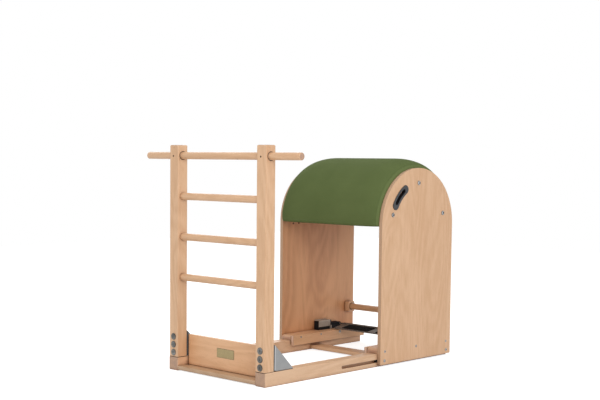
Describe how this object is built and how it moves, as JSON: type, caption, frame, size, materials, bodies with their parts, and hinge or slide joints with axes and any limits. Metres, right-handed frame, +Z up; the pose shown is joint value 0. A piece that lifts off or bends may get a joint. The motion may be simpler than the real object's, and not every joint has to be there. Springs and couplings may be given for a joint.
{
  "type": "pilates ladder barrel",
  "caption": "Beech ladder on a floor frame with an upholstered arched barrel that slides along the rails and is held by a sprung friction brake under a lift bar.",
  "frame": {"origin": "on the floor under the middle of the whole object's box, with the barrel at the far end of its travel", "axes": "+X from the ladder to the barrel, +Y to the left seen from the ladder, +Z up"},
  "size_m": [1.3028, 0.962, 1.006],
  "materials": {
    "beech": "clear satin lacquer on light hardwood",
    "plywood": "clear satin lacquer on veneered plywood",
    "vinyl": "fine-grained olive green vinyl over foam",
    "grey_steel": "satin light grey coating",
    "zinc": "bright zinc",
    "black_plastic": "matt black moulding",
    "dark_steel": "satin dark grey coating",
    "black_rubber": "matt ribbed rubber"
  },
  "bodies": {
    "base": {"base_rail_left": "beech", "base_rail_right": "beech", "foot_board": "beech", "rear_cross_rail": "beech", "kick_board": "beech", "post_left": "beech", "post_right": "beech", "top_bar": "beech", "rung_lower": "beech", "rung_middle": "beech", "rung_upper": "beech", "corner_plate_left": "grey_steel", "corner_plate_right": "grey_steel", "post_bolt_low_left": "zinc", "post_bolt_low_right": "zinc", "post_bolt_mid_left": "zinc", "post_bolt_mid_right": "zinc", "post_bolt_high_left": "zinc", "post_bolt_high_right": "zinc"},
    "barrel": {"side_panel_left": "plywood", "side_panel_right": "plywood", "handle_insert_left": "black_plastic", "handle_insert_right": "black_plastic", "barrel_pad": "vinyl", "barrel_shell": "plywood", "batten_front": "beech", "batten_top": "beech", "batten_rear": "beech", "ring_bolt_front_left": "zinc", "ring_bolt_front_right": "zinc", "ring_bolt_top_left": "zinc", "ring_bolt_top_right": "zinc", "ring_bolt_rear_left": "zinc", "ring_bolt_rear_right": "zinc", "runner_left": "beech", "runner_right": "beech", "keeper_left": "beech", "keeper_right": "beech", "slide_strip_left": "black_plastic", "slide_strip_right": "black_plastic", "slide_bolt_front_left": "zinc", "slide_bolt_front_right": "zinc", "slide_bolt_rear_left": "zinc", "slide_bolt_rear_right": "zinc", "rear_dowel": "beech", "dowel_block_left": "beech", "dowel_block_right": "beech", "brake_housing_left": "black_plastic", "brake_housing_right": "black_plastic", "housing_strap_left": "grey_steel", "housing_strap_right": "grey_steel", "brake_spring_left": "zinc", "brake_spring_right": "zinc"},
    "lift_bar": {"lift_bar": "dark_steel", "grip_strip_left": "black_rubber", "grip_strip_right": "black_rubber"},
    "plunger_left": {"brake_plunger_left": "dark_steel", "brake_foot_left": "black_rubber"},
    "plunger_right": {"brake_plunger_right": "dark_steel", "brake_foot_right": "black_rubber"}
  },
  "joints": [
    {"name": "barrel_slide", "type": "slide", "parent": "base", "child": "barrel", "axis": [1, 0, 0], "range_m": [-0.2375, 0]},
    {"name": "lift_bar_hinge", "type": "hinge", "parent": "barrel", "child": "lift_bar", "pos_m": [0.4689, 0, 0.105], "axis": [0, 1, 0], "range_deg": [0, 9], "stiffness_Nm_per_rad": 5, "springref_deg": -17.19},
    {"name": "plunger_left_slide", "type": "slide", "parent": "barrel", "child": "plunger_left", "axis": [0, 0, 1], "range_m": [0, 0.0115], "deforming": ["brake_spring_left"]},
    {"name": "plunger_right_slide", "type": "slide", "parent": "barrel", "child": "plunger_right", "axis": [0, 0, 1], "range_m": [0, 0.0115], "deforming": ["brake_spring_right"]}
  ],
  "couplings": [
    {"joint": "plunger_left_slide", "follows": "lift_bar_hinge", "m_per_rad": 0.0725},
    {"joint": "plunger_right_slide", "follows": "lift_bar_hinge", "m_per_rad": 0.0725}
  ]
}
